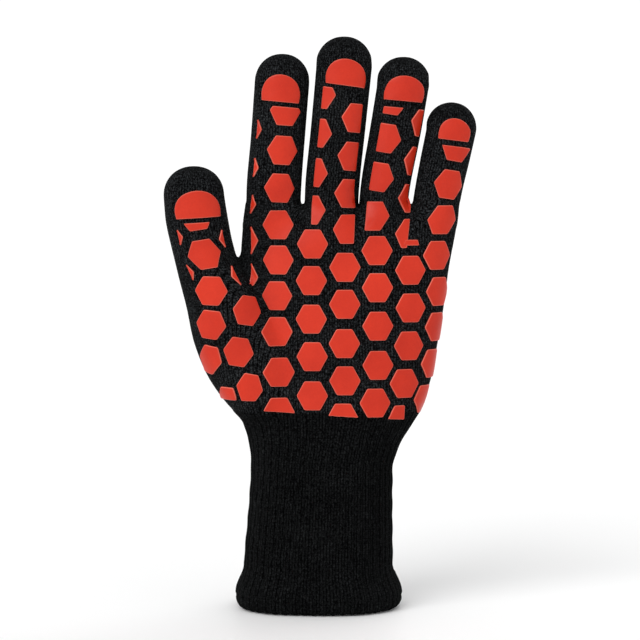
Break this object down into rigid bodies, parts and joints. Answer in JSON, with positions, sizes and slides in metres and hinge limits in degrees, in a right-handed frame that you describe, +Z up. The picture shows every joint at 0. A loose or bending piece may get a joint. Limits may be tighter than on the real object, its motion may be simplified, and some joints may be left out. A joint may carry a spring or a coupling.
{
  "type": "heat resistant glove",
  "caption": "Left-hand heat resistant barbecue glove: knitted shell over a cotton liner, raised silicone hexagon grip pads, long ribbed cuff, and fingers, thumb and wrist that bend.",
  "frame": {"origin": "on the floor under the middle of the glove's box, with the hem's bottom edge on z = 0", "axes": "+Z up along the fingers, -Y out of the palm, -X towards the thumb"},
  "size_m": [0.1774, 0.072, 0.3268],
  "materials": {
    "knit": "matte",
    "liner": "matte",
    "silicone": "satin"
  },
  "bodies": {
    "cuff": {"cuff_hem": "knit", "cuff_knit": "knit", "cuff_liner": "liner"},
    "palm": {"palm_knit": "knit", "palm_liner": "liner", "palm_pad_a1": "silicone", "palm_pad_a2": "silicone", "palm_pad_a3": "silicone", "palm_pad_a4": "silicone", "palm_pad_b1": "silicone", "palm_pad_b2": "silicone", "palm_pad_b3": "silicone", "palm_pad_b4": "silicone", "palm_pad_b5": "silicone", "palm_pad_c1": "silicone", "palm_pad_c2": "silicone", "palm_pad_c3": "silicone", "palm_pad_c4": "silicone", "palm_pad_d1": "silicone", "palm_pad_d2": "silicone", "palm_pad_d3": "silicone", "palm_pad_d4": "silicone", "palm_pad_d5": "silicone", "palm_pad_e1": "silicone", "palm_pad_e2": "silicone", "palm_pad_e3": "silicone", "palm_pad_e4": "silicone"},
    "index_base": {"index_base_knit": "knit", "index_base_liner": "liner"},
    "index_mid": {"index_mid_knit": "knit", "index_mid_liner": "liner"},
    "index_tip": {"index_tip_knit": "knit", "index_tip_liner": "liner", "index_tip_pad": "silicone"},
    "middle_base": {"middle_base_knit": "knit", "middle_base_liner": "liner"},
    "middle_mid": {"middle_mid_knit": "knit", "middle_mid_liner": "liner"},
    "middle_tip": {"middle_tip_knit": "knit", "middle_tip_liner": "liner", "middle_tip_pad": "silicone"},
    "ring_base": {"ring_base_knit": "knit", "ring_base_liner": "liner"},
    "ring_mid": {"ring_mid_knit": "knit", "ring_mid_liner": "liner"},
    "ring_tip": {"ring_tip_knit": "knit", "ring_tip_liner": "liner", "ring_tip_pad": "silicone"},
    "little_base": {"little_base_knit": "knit", "little_base_liner": "liner"},
    "little_mid": {"little_mid_knit": "knit", "little_mid_liner": "liner"},
    "little_tip": {"little_tip_knit": "knit", "little_tip_liner": "liner", "little_tip_pad": "silicone"},
    "thumb_base": {"thumb_base_knit": "knit", "thumb_base_liner": "liner"},
    "thumb_tip": {"thumb_tip_knit": "knit", "thumb_tip_liner": "liner", "thumb_tip_pad": "silicone"}
  },
  "joints": [
    {"name": "wrist_bend", "type": "hinge", "parent": "cuff", "child": "palm", "pos_m": [0, 0, 0.092], "axis": [1, 0, 0], "range_deg": [-30, 40], "stiffness_Nm_per_rad": 2},
    {"name": "index_base_bend", "type": "hinge", "parent": "palm", "child": "index_base", "pos_m": [-0.026, -0.006, 0.243], "axis": [1, 0, 0], "range_deg": [0, 65], "stiffness_Nm_per_rad": 0.2},
    {"name": "index_mid_bend", "type": "hinge", "parent": "index_base", "child": "index_mid", "pos_m": [-0.0244, -0.006, 0.2645], "axis": [1, 0, 0], "range_deg": [0, 70], "stiffness_Nm_per_rad": 0.15},
    {"name": "index_tip_bend", "type": "hinge", "parent": "index_mid", "child": "index_tip", "pos_m": [-0.0226, -0.006, 0.288], "axis": [1, 0, 0], "range_deg": [0, 35], "stiffness_Nm_per_rad": 0.1},
    {"name": "middle_base_bend", "type": "hinge", "parent": "palm", "child": "middle_base", "pos_m": [0.0073, -0.006, 0.244], "axis": [1, 0, 0], "range_deg": [0, 65], "stiffness_Nm_per_rad": 0.2},
    {"name": "middle_mid_bend", "type": "hinge", "parent": "middle_base", "child": "middle_mid", "pos_m": [0.0097, -0.006, 0.269], "axis": [1, 0, 0], "range_deg": [0, 70], "stiffness_Nm_per_rad": 0.15},
    {"name": "middle_tip_bend", "type": "hinge", "parent": "middle_mid", "child": "middle_tip", "pos_m": [0.0123, -0.006, 0.296], "axis": [1, 0, 0], "range_deg": [0, 35], "stiffness_Nm_per_rad": 0.1},
    {"name": "ring_base_bend", "type": "hinge", "parent": "palm", "child": "ring_base", "pos_m": [0.0377, -0.006, 0.243], "axis": [1, 0, 0], "range_deg": [0, 65], "stiffness_Nm_per_rad": 0.2},
    {"name": "ring_mid_bend", "type": "hinge", "parent": "ring_base", "child": "ring_mid", "pos_m": [0.0414, -0.006, 0.2645], "axis": [1, 0, 0], "range_deg": [0, 70], "stiffness_Nm_per_rad": 0.15},
    {"name": "ring_tip_bend", "type": "hinge", "parent": "ring_mid", "child": "ring_tip", "pos_m": [0.0455, -0.006, 0.2875], "axis": [1, 0, 0], "range_deg": [0, 35], "stiffness_Nm_per_rad": 0.1},
    {"name": "little_base_bend", "type": "hinge", "parent": "palm", "child": "little_base", "pos_m": [0.0679, -0.006, 0.2405], "axis": [1, 0, 0], "range_deg": [0, 65], "stiffness_Nm_per_rad": 0.2},
    {"name": "little_mid_bend", "type": "hinge", "parent": "little_base", "child": "little_mid", "pos_m": [0.0706, -0.006, 0.254], "axis": [1, 0, 0], "range_deg": [0, 70], "stiffness_Nm_per_rad": 0.15},
    {"name": "little_tip_bend", "type": "hinge", "parent": "little_mid", "child": "little_tip", "pos_m": [0.073, -0.006, 0.266], "axis": [1, 0, 0], "range_deg": [0, 35], "stiffness_Nm_per_rad": 0.1},
    {"name": "thumb_base_bend", "type": "hinge", "parent": "palm", "child": "thumb_base", "pos_m": [-0.0647, -0.012, 0.2], "axis": [1, 0, 0], "range_deg": [0, 45], "stiffness_Nm_per_rad": 0.25},
    {"name": "thumb_tip_bend", "type": "hinge", "parent": "thumb_base", "child": "thumb_tip", "pos_m": [-0.069, -0.012, 0.2175], "axis": [1, 0, 0], "range_deg": [0, 60], "stiffness_Nm_per_rad": 0.15}
  ],
  "couplings": [
    {"joint": "index_tip_bend", "follows": "index_mid_bend", "ratio": 0.5},
    {"joint": "middle_tip_bend", "follows": "middle_mid_bend", "ratio": 0.5},
    {"joint": "ring_tip_bend", "follows": "ring_mid_bend", "ratio": 0.5},
    {"joint": "little_tip_bend", "follows": "little_mid_bend", "ratio": 0.5}
  ]
}
